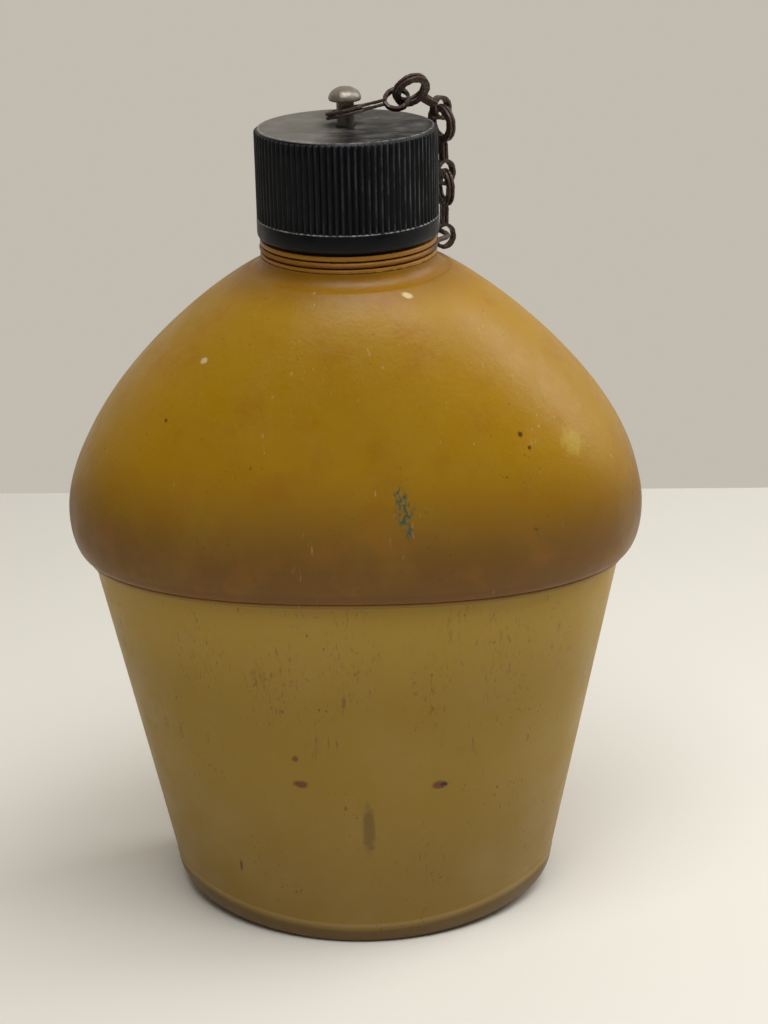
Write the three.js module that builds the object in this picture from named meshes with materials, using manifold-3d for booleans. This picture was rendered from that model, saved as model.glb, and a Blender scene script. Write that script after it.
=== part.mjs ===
// One-quart moulded plastic canteen: a tapered kidney-shaped lower shell, a domed upper shell that overlaps
// it, a threaded neck, and a ribbed screw cap whose pin is chained to a wire ring round the neck.
// Millimetres, +Z up, -Y to the front. Everything is built round the neck's axis, and the whole group is
// then moved so that the origin is at the middle of the canteen's footprint.

import * as THREE from 'three';
import { mergeVertices } from 'three/addons/utils/BufferGeometryUtils.js';
import Module from 'manifold-3d';

const wasm = await Module();
wasm.setup();

const { lerp, degToRad, smoothstep } = THREE.MathUtils;

// ---- Driving dimensions ----

const GAP = 0.3; // clearance left between neighbouring pieces
const WALL = 2.4; // thickness of both shells
const NECK_OFFSET_Y = 4.05; // neck's axis behind the middle of the footprint
const SECTION_Y = -4; // middle of the body's sections, from the neck's axis
const AROUND = 56; // points round a body section
const OUTLINE_STEPS = 720; // points of its outline before they are spaced evenly

// Sections of the body: half width, front and back half depths, and how far the two ends are lifted.
const FOOT = { z: 0, side: 40.2, front: 25.8, back: 28.6, lift: 0 };
const BASE = { z: 4.6, side: 48.2, front: 27.6, back: 31, lift: 5 };
const WALL_TOP = { z: 93.8, side: 64, front: 35.4, back: 38.6, lift: 0 };
const LIP = { z: 93.8, side: 65.2, front: 36.6, back: 39.8 };
const SHOULDER = { z: 105.3, side: 69, front: 38.1, back: 41.5 };
// Dome's outline above the shoulder: heights and half widths of its two control points.
const DOME = { lowZ: 126, highZ: 155.2, highSide: 39.3, highDepth: 34 };
const NECK_WALL = 0.7; // share of the wall's thickness kept where the dome meets the neck
const TONGUE = 7.2; // lower shell's rim above the lip, inside the upper shell
const KIDNEY = { frontPower: 2.66, backPower: 3.4, sweep: 6, hollow: 9 };
const KIDNEY_FOOT = { ...KIDNEY, frontPower: 2 };
const ROUND = { frontPower: 2, backPower: 2, sweep: 0, hollow: 0 };

const COLLAR_R = 20.5;
const FILLET = 3.5; // between dome and collar
const DOME_TOP_Z = 163.3;
const SEAM_Z = 166.6; // joint between upper shell and neck moulding
const COLLAR_TOP_Z = 170.6;
const COLLAR_EDGE = 0.7;
const MOUTH_EDGE = 0.5;
const RING_GROOVE = { z: 168.5, r: 19.2, half: 0.9 };
const SPIGOT = { r: 16, bottom: 161.2 };
const BORE_R = 14;
const THREAD_ROOT_R = 16.1;
const THREAD_CREST_R = 17.4;

const CAP_TOP_Z = 196;
const CAP_RIM_Z = 171;
const RIBS_FROM_Z = 175.4;
const RIB_COUNT = 88;
const RIB_ROOT_R = 20.5;
const RIB_CREST_R = 21;
const BAND_R = 21.05;
const CAP_BORE_R = 17.9;
const CAP_CREST_R = 16.5;
const CAP_PLATE = 3;
const CAP_EDGE = 0.7; // rounding of the cap's top edge
const CAP_RIM = { drawn: 0.9, high: 1.1 }; // chamfer of the cap's lower rim
const RIB_RAMP = 0.2; // half height of the slope between band and ribs
const PAST = 1; // how far a cutting body reaches past what it cuts
const PIN_HOLE_R = 2.3;

const THREAD = {
  pitch: 3.6, turns: 0.9, rootWidth: 1.8, crestWidth: 0.9, z: 184, steps: 30, endHeight: 0.25, runOut: 3,
};
const BITE = 0.3; // depth of a thread's root inside the wall that carries it

const PIN = {
  r: 2, headR: 3.75, headHeight: 3.2, headEdge: 0.5, headChamfer: 0.2, standsOut: 5.7,
  tailR: 3, tail: 0.6, tailChamfer: 0.4,
};
const WASHER = { r: 6, thick: 0.8 };
const GASKET = { inner: 6.5, outer: 17.4, thick: 1.8 };

const WIRE_R = 0.6;
const NECK_RING = { r: 20.1, bulge: 4, spread: degToRad(15) };
const CHAIN_AZIMUTH = degToRad(24); // from +X towards the back
const LINK_ABOVE_CAP = 3.1; // middle of the first link's ring above the cap

const LINK = {
  ringR: 4.4, holeR: 2.75, thick: 1.6, strip: 0.8, width: 1.8, eyeLong: 3.1, eyeHigh: 2.75,
  span: 11.5, twist: 0,
};
const WAIST_OVERLAP = 0.5; // how far a link's waist reaches into its ring and its eye
const RING_TO_EYE = 3.6; // from a link's ring centre to the eye that passes through it

// How the links lie at rest, in degrees. Twist turns a link's eye against its ring.
const FIRST_LINK = { ...LINK, ringR: 4.6, holeR: 3.1, span: 12, twist: -27, azimuth: 7, rise: 12, roll: -8 };
const SECOND_LINK = { ...LINK, twist: 50, stand: 32, roll: 2 };
const THIRD_LINK = { ...LINK, lean: -3, turn: 14 };
const LAST_LINK = { ...LINK, lean: 1, drop: 0.75 };

// ---- Helpers ----

const material = (color, roughness, metalness = 0) =>
  new THREE.MeshStandardMaterial({ color, roughness, metalness });

// Closed surface through rings of points. A loop joins its last ring to its first; otherwise both ends are
// closed by a fan.
function skin(rings, loop = false) {
  const count = rings[0].length;
  const positions = rings.flat().flatMap((p) => [p.x, p.y, p.z]);
  const faces = [];
  const spans = loop ? rings.length : rings.length - 1;
  for (let i = 0; i < spans; i++) {
    const low = i * count;
    const high = ((i + 1) % rings.length) * count;
    for (let j = 0; j < count; j++) {
      const k = (j + 1) % count;
      faces.push(low + j, low + k, high + k, low + j, high + k, high + j);
    }
  }
  if (!loop) {
    for (const [end, flip] of [[0, true], [rings.length - 1, false]]) {
      const centre = new THREE.Vector3();
      rings[end].forEach((p) => centre.addScaledVector(p, 1 / count));
      const hub = positions.length / 3;
      positions.push(centre.x, centre.y, centre.z);
      for (let j = 0; j < count; j++) {
        const a = end * count + j;
        const b = end * count + ((j + 1) % count);
        faces.push(...(flip ? [b, a, hub] : [a, b, hub]));
      }
    }
  }
  const geometry = new THREE.BufferGeometry();
  geometry.setAttribute('position', new THREE.Float32BufferAttribute(positions, 3));
  geometry.setIndex(faces);
  return facingOut(geometry);
}

function facingOut(geometry) {
  const p = geometry.getAttribute('position');
  const index = geometry.getIndex();
  const corner = (i) => new THREE.Vector3().fromBufferAttribute(p, index.getX(i));
  let volume = 0;
  for (let i = 0; i < index.count; i += 3) {
    volume += corner(i).dot(corner(i + 1).cross(corner(i + 2)));
  }
  if (volume < 0) {
    const flipped = [];
    for (let i = 0; i < index.count; i += 3) {
      flipped.push(index.getX(i), index.getX(i + 2), index.getX(i + 1));
    }
    geometry.setIndex(flipped);
  }
  return geometry;
}

// Revolved about +Z from [radius, z] pairs. The outline is closed on itself or ends on the axis.
function revolve(outline, segments = 48) {
  const points = outline.map(([r, z]) => new THREE.Vector2(r, z));
  const geometry = new THREE.LatheGeometry(points, segments).rotateX(Math.PI / 2);
  return facingOut(bare(geometry));
}

function bare(geometry) {
  const copy = geometry.clone();
  copy.deleteAttribute('normal');
  copy.deleteAttribute('uv');
  return mergeVertices(copy, 1e-4);
}

function solid(geometry) {
  const merged = bare(geometry);
  return new wasm.Manifold(new wasm.Mesh({
    numProp: 3,
    vertProperties: new Float32Array(merged.getAttribute('position').array),
    triVerts: new Uint32Array(merged.getIndex().array),
  }));
}

function geometryOf(body) {
  const mesh = body.getMesh();
  const geometry = new THREE.BufferGeometry();
  geometry.setAttribute('position', new THREE.Float32BufferAttribute(mesh.vertProperties, 3));
  geometry.setIndex(Array.from(mesh.triVerts));
  return geometry;
}

function piece(name, geometry, look) {
  const mesh = new THREE.Mesh(geometry, look);
  mesh.name = name;
  return mesh;
}

const polar = (radius, angle, z) => new THREE.Vector3(radius * Math.cos(angle), radius * Math.sin(angle), z);

// ---- Body sections ----

// One ring of points. Front and back are halves of superellipses; the ends are swept back, and the back is
// hollowed in the middle, which makes the kidney shape.
function section({ z, side, front, back, lift = 0 }, shape = KIDNEY, centreY = SECTION_Y) {
  const outline = Array.from({ length: OUTLINE_STEPS + 1 }, (_, i) => {
    const angle = (2 * Math.PI * i) / OUTLINE_STEPS;
    const c = Math.cos(angle);
    const s = Math.sin(angle);
    const atBack = s > 0;
    const power = atBack ? shape.backPower : shape.frontPower;
    const across = Math.sign(c) * Math.abs(c) ** (2 / power);
    const deep = Math.abs(s) ** (2 / power);
    const hollow = atBack ? shape.hollow * (1 - across ** 2) ** 2 : 0;
    const y = (atBack ? back : -front) * deep + shape.sweep * across ** 2 - hollow;
    return new THREE.Vector3(side * across, centreY + y, z + lift * across ** 2);
  });
  return evenly(outline, AROUND);
}

// Points at equal distances along an outline that ends where it began.
function evenly(outline, count) {
  const travelled = [0];
  for (let i = 1; i < outline.length; i++) {
    travelled.push(travelled[i - 1] + outline[i].distanceTo(outline[i - 1]));
  }
  let at = 0;
  return Array.from({ length: count }, (_, i) => {
    const wanted = (travelled[travelled.length - 1] * i) / count;
    while (travelled[at + 1] < wanted) at += 1;
    const part = (wanted - travelled[at]) / (travelled[at + 1] - travelled[at]);
    return outline[at].clone().lerp(outline[at + 1], part);
  });
}

const inset = (level, by) => ({
  ...level, side: level.side - by, front: level.front - by, back: level.back - by,
});

const blend = (a, b, t) => Object.fromEntries(Object.keys(a).map((key) => [key, lerp(a[key], b[key], t)]));

const cubic = (t, a, b, c, d) =>
  (1 - t) ** 3 * a + 3 * (1 - t) ** 2 * t * b + 3 * (1 - t) * t ** 2 * c + t ** 3 * d;

// Dome from the shoulder (t = 0) to the circle at the foot of the neck's fillet (t = 1).
function domeRing(t, by = 0) {
  const foot = COLLAR_R + FILLET;
  const ease = smoothstep(t, 0, 1);
  const level = {
    z: cubic(t, SHOULDER.z, DOME.lowZ, DOME.highZ, DOME_TOP_Z) - by * t,
    side: cubic(t, SHOULDER.side, SHOULDER.side, DOME.highSide, foot),
    front: cubic(t, SHOULDER.front, SHOULDER.front, DOME.highDepth, foot),
    back: cubic(t, SHOULDER.back, SHOULDER.back, DOME.highDepth, foot),
  };
  const drawnIn = inset(level, by * lerp(1, NECK_WALL, t));
  return section(drawnIn, blend(KIDNEY, ROUND, ease), SECTION_Y * (1 - ease));
}

const circle = (radius, z) => section({ z, side: radius, front: radius, back: radius }, ROUND, 0);

const steps = (count, from = 0) => Array.from({ length: count + 1 - from }, (_, i) => (i + from) / count);

// ---- Shells ----

// The wall between the base's edge (t = 0) and the lip (t = 1).
const wallRing = (t, by = 0) => section(inset(blend(BASE, WALL_TOP, t), by), blend(KIDNEY_FOOT, KIDNEY, t));

function lowerShell() {
  const underside = steps(5).map((t) => {
    const angle = (t * Math.PI) / 2;
    const rise = 1 - Math.cos(angle);
    const level = blend(FOOT, BASE, Math.sin(angle));
    return section({ ...level, z: BASE.z * rise, lift: BASE.lift * rise }, KIDNEY_FOOT);
  });
  const rimZ = WALL_TOP.z + TONGUE;
  return skin([
    ...underside,
    ...steps(4, 1).map((t) => wallRing(t)),
    section({ ...WALL_TOP, z: rimZ }),
    section(inset({ ...WALL_TOP, z: rimZ }, WALL)),
    ...steps(4).map((t) => wallRing(1 - t, WALL)),
    section(inset({ ...FOOT, z: WALL }, WALL), KIDNEY_FOOT),
  ]);
}

function upperShell() {
  const socketZ = WALL_TOP.z + TONGUE + GAP;
  const lip = steps(5).map((t) => {
    const angle = (t * Math.PI) / 2;
    const level = blend(LIP, SHOULDER, Math.sin(angle));
    return section({ ...level, z: lerp(LIP.z, SHOULDER.z, 1 - Math.cos(angle)) });
  });
  const fillet = steps(4, 1).map((t) => {
    const angle = (t * Math.PI) / 2;
    return circle(
      COLLAR_R + FILLET * (1 - Math.sin(angle)),
      lerp(DOME_TOP_Z, SEAM_Z, 1 - Math.cos(angle)),
    );
  });
  return skin([
    ...lip,
    ...steps(10, 1).map((t) => domeRing(t)),
    ...fillet,
    circle(SPIGOT.r + GAP, SEAM_Z),
    circle(SPIGOT.r + GAP, SPIGOT.bottom + GAP),
    ...steps(7).map((t) => domeRing(1 - t, WALL)),
    section(inset({ ...WALL_TOP, z: socketZ }, -GAP)),
    section(inset({ ...WALL_TOP, z: LIP.z }, -GAP)),
  ], true);
}

// ---- Screw thread ----

// Helical ridge between two radii, wider at its root.
function ridge(rootR, crestR, z) {
  const { pitch, turns, rootWidth, crestWidth, steps: count, endHeight, runOut } = THREAD;
  return skin(Array.from({ length: count + 1 }, (_, i) => {
    const angle = (2 * Math.PI * turns * i) / count;
    const level = z + (pitch * angle) / (2 * Math.PI);
    const height = Math.min(1, endHeight + Math.min(i, count - i) / runOut);
    const crest = lerp(rootR, crestR, height);
    return [
      polar(rootR, angle, level - rootWidth / 2),
      polar(crest, angle, level - crestWidth / 2),
      polar(crest, angle, level + crestWidth / 2),
      polar(rootR, angle, level + rootWidth / 2),
    ];
  }));
}

function threadedNeck() {
  const rim = CAP_TOP_Z - CAP_PLATE - GAP - GASKET.thick - GAP;
  const { z, r, half } = RING_GROOVE;
  const barrel = revolve([
    [BORE_R, SPIGOT.bottom], [SPIGOT.r, SPIGOT.bottom], [SPIGOT.r, SEAM_Z + GAP], [COLLAR_R, SEAM_Z + GAP],
    [COLLAR_R, z - half], [r, z - half], [r, z + half], [COLLAR_R, z + half],
    [COLLAR_R, COLLAR_TOP_Z - COLLAR_EDGE], [COLLAR_R - COLLAR_EDGE, COLLAR_TOP_Z],
    [THREAD_ROOT_R, COLLAR_TOP_Z], [THREAD_ROOT_R, rim - MOUTH_EDGE], [THREAD_ROOT_R - MOUTH_EDGE, rim],
    [BORE_R, rim], [BORE_R, SPIGOT.bottom],
  ]);
  return geometryOf(solid(barrel).add(solid(ridge(THREAD_ROOT_R - BITE, THREAD_CREST_R, THREAD.z))));
}

// ---- Cap ----

function ribbedBarrel() {
  const outline = new THREE.Shape(Array.from({ length: 2 * RIB_COUNT }, (_, i) => {
    const p = polar(i % 2 ? RIB_ROOT_R : RIB_CREST_R, (Math.PI * i) / RIB_COUNT, 0);
    return new THREE.Vector2(p.x, p.y);
  }));
  const depth = CAP_TOP_Z - CAP_EDGE - RIBS_FROM_Z;
  return new THREE.ExtrudeGeometry(outline, { depth, bevelEnabled: false }).translate(0, 0, RIBS_FROM_Z);
}

function capShell() {
  const under = CAP_TOP_Z - CAP_PLATE;
  const core = revolve([
    [0, CAP_RIM_Z], [BAND_R - CAP_RIM.drawn, CAP_RIM_Z], [BAND_R, CAP_RIM_Z + CAP_RIM.high],
    [BAND_R, RIBS_FROM_Z - RIB_RAMP], [RIB_ROOT_R, RIBS_FROM_Z + RIB_RAMP],
    [RIB_ROOT_R, CAP_TOP_Z - CAP_EDGE], [RIB_ROOT_R - CAP_EDGE, CAP_TOP_Z], [0, CAP_TOP_Z],
  ], 64);
  const mouth = CAP_RIM_Z - PAST;
  const bore = revolve([[0, mouth], [CAP_BORE_R, mouth], [CAP_BORE_R, under], [0, under]]);
  const [low, high] = [under - PAST, CAP_TOP_Z + PAST];
  const hole = revolve([[0, low], [PIN_HOLE_R, low], [PIN_HOLE_R, high], [0, high]], 24);
  const thread = ridge(CAP_BORE_R + BITE, CAP_CREST_R, THREAD.z - THREAD.pitch / 2);
  return geometryOf(solid(core).add(solid(ribbedBarrel())).subtract(solid(bore)).subtract(solid(hole))
    .add(solid(thread)));
}

const washer = (inner, outer, bottom, thick) => revolve([
  [inner, bottom], [outer, bottom], [outer, bottom + thick], [inner, bottom + thick], [inner, bottom],
]);

function capPin() {
  const headZ = CAP_TOP_Z + PIN.standsOut;
  const tailTop = CAP_TOP_Z - CAP_PLATE - GAP - WASHER.thick - GAP;
  const dome = steps(6).map((t) => {
    const angle = (t * Math.PI) / 2;
    const height = lerp(PIN.headEdge, PIN.headHeight, Math.sin(angle));
    return [PIN.headR * Math.cos(angle), headZ + height];
  });
  dome[dome.length - 1][0] = 0;
  return revolve([
    [0, tailTop - PIN.tail], [PIN.tailR - PIN.tailChamfer, tailTop - PIN.tail], [PIN.tailR, tailTop],
    [PIN.r, tailTop], [PIN.r, headZ], [PIN.headR - PIN.headChamfer, headZ], ...dome,
  ], 32);
}

// ---- Neck ring and chain ----

// Wire ring in the collar's groove, bowed out where the last link passes round it.
function neckRing() {
  const around = 60;
  const sides = 6;
  const bow = (angle) => {
    const off = Math.atan2(Math.sin(angle - CHAIN_AZIMUTH), Math.cos(angle - CHAIN_AZIMUTH));
    return NECK_RING.r + NECK_RING.bulge * Math.exp(-((off / NECK_RING.spread) ** 4));
  };
  return skin(Array.from({ length: around }, (_, i) => {
    const angle = (2 * Math.PI * i) / around;
    const centre = polar(bow(angle), angle, RING_GROOVE.z);
    const ahead = polar(bow(angle + 0.01), angle + 0.01, RING_GROOVE.z);
    const out = ahead.sub(centre).normalize().cross(new THREE.Vector3(0, 0, 1));
    return Array.from({ length: sides }, (__, j) => {
      const turn = (2 * Math.PI * j) / sides;
      return centre.clone().addScaledVector(out, WIRE_R * Math.cos(turn))
        .add(new THREE.Vector3(0, 0, WIRE_R * Math.sin(turn)));
    });
  }), true);
}

// Rectangular bar bent into a closed oval round its own Z axis.
function ovalBar(outerX, outerY, band, width, count) {
  return skin(Array.from({ length: count }, (_, i) => {
    const angle = (2 * Math.PI * i) / count;
    const at = (cut, side) =>
      new THREE.Vector3((outerX - cut) * Math.cos(angle), (outerY - cut) * Math.sin(angle), side);
    return [at(0, -width / 2), at(0, width / 2), at(band, width / 2), at(band, -width / 2)];
  }), true);
}

// Flat strip folded double: a ring of two layers at the origin, and the fold's eye on +X.
function linkGeometry({ ringR, holeR, thick, strip, width, eyeLong, eyeHigh, span, twist }) {
  const ring = ovalBar(ringR, ringR, ringR - holeR, thick, 20);
  const eye = ovalBar(eyeLong, eyeHigh, strip, width, 16)
    .rotateX(Math.PI / 2 + degToRad(twist)).translate(span, 0, 0);
  const from = ringR - WAIST_OVERLAP;
  const to = span - eyeLong + WAIST_OVERLAP;
  const waist = new THREE.BoxGeometry(to - from, width, thick).translate((from + to) / 2, 0, 0);
  return geometryOf(solid(ring).add(solid(waist)).add(solid(eye)));
}

const UP = new THREE.Vector3(0, 0, 1);
const OUT = polar(1, CHAIN_AZIMUTH, 0);

// Direction from a hanging link's ring to its eye, for a lean of its top away from the cap, in degrees.
const hanging = (lean) =>
  OUT.clone().multiplyScalar(-Math.sin(degToRad(lean))).addScaledVector(UP, -Math.cos(degToRad(lean)));

// Where each link lies: the hanging links are worked out from the neck ring upwards, and the first one from
// the pin outwards. The second stands up between them, its ring's centre the third corner of a triangle.
function chainPlaces() {
  const along4 = hanging(LAST_LINK.lean);
  const eye4 = polar(NECK_RING.r + NECK_RING.bulge, CHAIN_AZIMUTH, RING_GROOVE.z - LAST_LINK.drop);
  const centre4 = eye4.clone().addScaledVector(along4, -LAST_LINK.span);
  const along3 = hanging(THIRD_LINK.lean);
  const eye3 = centre4.clone().addScaledVector(along4, -RING_TO_EYE);
  const centre3 = eye3.clone().addScaledVector(along3, -THIRD_LINK.span);
  const eye2 = centre3.clone().addScaledVector(along3, -RING_TO_EYE);

  const rise = degToRad(FIRST_LINK.rise);
  const along1 = polar(Math.cos(rise), degToRad(FIRST_LINK.azimuth), Math.sin(rise));
  const centre1 = new THREE.Vector3(0, 0, CAP_TOP_Z + LINK_ABOVE_CAP);
  const eye1 = centre1.clone().addScaledVector(along1, FIRST_LINK.span);

  const reach = eye2.clone().sub(eye1);
  const distance = reach.length();
  const line = reach.normalize();
  const foot = (RING_TO_EYE ** 2 - SECOND_LINK.span ** 2 + distance ** 2) / (2 * distance);
  const height = Math.sqrt(RING_TO_EYE ** 2 - foot ** 2);
  const aside = line.clone().cross(UP).normalize();
  const lift = aside.clone().cross(line).applyAxisAngle(line, degToRad(SECOND_LINK.stand));
  const centre2 = eye1.clone().addScaledVector(line, foot).addScaledVector(lift, height);
  const along2 = eye2.clone().sub(centre2).normalize();
  const facing2 = along2.clone().cross(eye1.clone().sub(centre2)).normalize();
  return [
    { size: FIRST_LINK, centre: centre1, along: along1, facing: turned(UP, along1, FIRST_LINK.roll) },
    { size: SECOND_LINK, centre: centre2, along: along2, facing: turned(facing2, along2, SECOND_LINK.roll) },
    { size: THIRD_LINK, centre: centre3, along: along3, facing: turned(OUT, UP, THIRD_LINK.turn) },
    { size: LAST_LINK, centre: centre4, along: along4, facing: OUT },
  ];
}

const turned = (vector, axis, degrees) => vector.clone().applyAxisAngle(axis, degToRad(degrees));

// A link is placed by its ring's centre, the direction of its eye and the direction its flat side faces.
function chainLink({ size, centre, along, facing }, i) {
  const link = piece(`chain_link_${i + 1}`, linkGeometry(size), rusty.clone());
  const across = facing.clone().cross(along).normalize();
  const axes = new THREE.Matrix4().makeBasis(along, across, along.clone().cross(across));
  link.quaternion.setFromRotationMatrix(axes);
  link.position.copy(centre);
  return link;
}

// ---- Assembly ----

const amber = material(0x9a6a1c, 0.35);
const amberDull = material(0x8a6630, 0.45);
const phenolic = material(0x15171a, 0.5);
const rubber = material(0x2b2622, 0.8);
const steel = material(0x8d857a, 0.45, 0.8);
const rusty = material(0x3b302a, 0.6, 0.7);

const gasketTop = CAP_TOP_Z - CAP_PLATE - GAP;
const gasket = washer(GASKET.inner, GASKET.outer, gasketTop - GASKET.thick, GASKET.thick);
const pinWasher = washer(PIN_HOLE_R, WASHER.r, gasketTop - WASHER.thick, WASHER.thick);

const canteen = new THREE.Group();
canteen.position.y = NECK_OFFSET_Y;
canteen.add(
  piece('lower_shell', lowerShell(), amberDull),
  piece('upper_shell', upperShell(), amber),
  piece('threaded_neck', threadedNeck(), amber.clone()),
  piece('neck_ring', neckRing(), rusty.clone()),
  piece('cap_shell', capShell(), phenolic),
  piece('cap_gasket', gasket, rubber),
  piece('cap_pin', capPin(), steel),
  piece('cap_pin_washer', pinWasher, steel.clone()),
);
canteen.add(...chainPlaces().map(chainLink));

export default canteen;
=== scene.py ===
# The looks of a one-quart moulded plastic canteen with a chained screw cap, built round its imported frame.

import math

import bmesh
import bpy
import numpy as np
from mathutils import Matrix, Vector, noise


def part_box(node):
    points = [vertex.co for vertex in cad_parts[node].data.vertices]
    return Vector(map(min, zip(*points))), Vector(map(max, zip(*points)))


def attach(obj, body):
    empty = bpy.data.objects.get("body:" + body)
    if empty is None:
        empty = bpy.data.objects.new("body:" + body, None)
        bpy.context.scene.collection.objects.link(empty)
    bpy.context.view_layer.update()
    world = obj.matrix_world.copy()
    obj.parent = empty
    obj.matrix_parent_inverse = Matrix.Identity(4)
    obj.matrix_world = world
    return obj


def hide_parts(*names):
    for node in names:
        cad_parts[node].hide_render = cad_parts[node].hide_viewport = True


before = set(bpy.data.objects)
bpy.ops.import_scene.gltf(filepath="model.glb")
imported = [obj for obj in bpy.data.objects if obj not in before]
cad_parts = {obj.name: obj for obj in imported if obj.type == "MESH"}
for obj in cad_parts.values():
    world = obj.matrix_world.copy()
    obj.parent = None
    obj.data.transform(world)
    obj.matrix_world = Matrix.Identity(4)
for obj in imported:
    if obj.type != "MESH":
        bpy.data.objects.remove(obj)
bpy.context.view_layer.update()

MM = 0.001  # everything below is in millimetres, measured from the neck's axis, until piece() places it


def extent(node):
    """Lowest and highest corner of a CAD node, in millimetres."""
    return [np.array(corner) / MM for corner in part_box(node)]


# ---- Sizes ----

cap_low, cap_high = extent("cap_shell")
upper_low, upper_high = extent("upper_shell")
lower_high = extent("lower_shell")[1]
neck_low, neck_high = extent("threaded_neck")
pin_low, pin_high = extent("cap_pin")
ring_low, ring_high = extent("neck_ring")

NECK = (cap_low + cap_high) / 2 * (1, 1, 0)
CAP_TOP, CAP_RIM = cap_high[2], cap_low[2]
SEAM = upper_high[2]
LIP_Z = upper_low[2]

AROUND = 288  # points round a body section
WALL = 2.4
GAP = 0.3
SECTION_Y = -4

FOOT = dict(z=0, side=40.2, front=25.8, back=28.6, lift=0)
BASE = dict(z=4.6, side=48.2, front=27.6, back=31, lift=5)
WALL_TOP = dict(z=LIP_Z, side=64, front=35.4, back=38.6, lift=0)
LIP = dict(z=LIP_Z, side=65.2, front=36.6, back=39.8)
SHOULDER = dict(z=105.3, side=(upper_high[0] - upper_low[0]) / 2, front=38.1, back=41.5)
DOME = dict(low_z=126, high_z=155.2, high_side=39.3, high_depth=34)
NECK_WALL = 0.7
KIDNEY = dict(front_power=2.66, back_power=3.4, sweep=6, hollow=9)
KIDNEY_FOOT = {**KIDNEY, "front_power": 2}
ROUND = dict(front_power=2, back_power=2, sweep=0, hollow=0)
BEAD = dict(height=0.9, proud=0.14)  # thin bead along the lip's lower edge and the base's edge

COLLAR_R = 20.5
FILLET = 3.5
DOME_TOP = 163.3
COLLAR_TOP = 170.6
GROOVE = dict(z=(ring_low[2] + ring_high[2]) / 2, r=19.2, half=0.9)
SPIGOT = dict(r=16, bottom=neck_low[2])
BORE_R = 14
THREAD_ROOT_R, THREAD_CREST_R = 16.1, 17.4
THREAD = dict(pitch=3.6, turns=0.9, root=1.8, crest=0.9, z=184)
BITE = 0.3  # depth of a thread's root inside the wall that carries it

RIBS_FROM = 175.4
RIB_COUNT = 88
RIB_ROOT_R, RIB_CREST_R, BAND_R = 20.5, 21, 21.05
CAP_BORE_R, CAP_CREST_R = 17.9, 16.5
CAP_PLATE = 3
CAP_EDGE = 0.7
CAP_RIM_ROUND = 1.1
CAP_BORE_EDGE = 0.3
CAP_BORE_FILLET = 0.4
PIN_HOLE_R = 2.3
PIN_HOLE_EDGE = 0.15

GASKET_HOLE_R = 6.5
PIN = dict(r=2, head_r=3.75, head_height=3.2, head_edge=0.5, tail_r=3, tail=0.6)
WIRE_R = 0.6
NECK_RING = dict(r=20.1, bulge=4, spread=math.radians(15))
CHAIN_AZIMUTH = math.radians(24)

LINK = dict(ring_r=4.4, hole_r=2.75, thick=1.6, strip=0.8, width=1.8, eye_long=3.1, eye_high=2.75,
            span=11.5, twist=0)
FIRST_LINK = {**LINK, "ring_r": 4.6, "hole_r": 3.1, "span": 12, "twist": -27}
SECOND_LINK = {**LINK, "twist": 50}
LAYER_GAP = 0.26  # between the two layers of a link's folded strip
LINK_VOXEL = 0.11  # size of the cells that join a link's parts into one skin
RING_TO_EYE = 3.6
LINK_ABOVE_CAP = 3.1
FIRST_AZIMUTH, FIRST_RISE, FIRST_ROLL = (math.radians(a) for a in (7, 12, -8))
SECOND_STAND, SECOND_ROLL = (math.radians(a) for a in (32, 2))
THIRD_LEAN, THIRD_TURN = (math.radians(a) for a in (-3, 14))
LAST_LEAN, LAST_DROP = math.radians(1), 0.75


# ---- Mesh helpers ----

def skin(rings, loop=False):
    """Vertices and faces of a closed surface through rings of points; open ends get a fan."""
    rings = np.array(rings)
    levels, count = rings.shape[:2]
    verts = [tuple(p) for p in rings.reshape(-1, 3)]
    faces = []
    for i in range(levels if loop else levels - 1):
        low, high = i * count, (i + 1) % levels * count
        for j in range(count):
            k = (j + 1) % count
            faces.append((low + j, low + k, high + k, high + j))
    if not loop:
        for end, flip in ((0, True), (levels - 1, False)):
            verts.append(tuple(rings[end].mean(axis=0)))
            for j in range(count):
                a, b = end * count + j, end * count + (j + 1) % count
                faces.append((b, a, len(verts) - 1) if flip else (a, b, len(verts) - 1))
    return verts, faces


def build(verts, faces):
    """Mesh with all its faces turned outwards."""
    mesh = bpy.data.meshes.new("form")
    mesh.from_pydata(verts, [], faces)
    work = bmesh.new()
    work.from_mesh(mesh)
    bmesh.ops.remove_doubles(work, verts=work.verts, dist=1e-5)
    bmesh.ops.recalc_face_normals(work, faces=work.faces)
    if work.calc_volume(signed=True) < 0:
        bmesh.ops.reverse_faces(work, faces=work.faces)
    work.to_mesh(mesh)
    work.free()
    return mesh


def worked(mesh, kind, others=(), **settings):
    """The mesh after one modifier, or after one for each of the other meshes."""
    body = bpy.data.objects.new("work", mesh)
    bpy.context.collection.objects.link(body)
    tools = [bpy.data.objects.new("tool", other) for other in others]
    for tool in tools or [None]:
        modifier = body.modifiers.new("step", kind)
        if tool:
            bpy.context.collection.objects.link(tool)
            modifier.object = tool
        for key, value in settings.items():
            setattr(modifier, key, value)
    shaped = bpy.data.meshes.new_from_object(body.evaluated_get(bpy.context.evaluated_depsgraph_get()))
    for temporary in (body, *tools):
        bpy.data.objects.remove(temporary)
    return shaped


def united(mesh, *others):
    """The mesh joined with others into one closed skin."""
    return worked(mesh, "BOOLEAN", others, operation="UNION", solver="MANIFOLD")


def roughened(mesh, depth, size):
    """Moves each point along its normal by a little noise, as on worn or rusted metal."""
    points = np.zeros((len(mesh.vertices), 3))
    mesh.vertices.foreach_get("co", points.ravel())
    normals = np.zeros_like(points)
    mesh.vertices.foreach_get("normal", normals.ravel())
    lumps = np.array([noise.noise(Vector(point / size)) for point in points])
    mesh.vertices.foreach_set("co", (points + normals * depth * lumps[:, None]).ravel())
    mesh.update()
    return mesh


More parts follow.
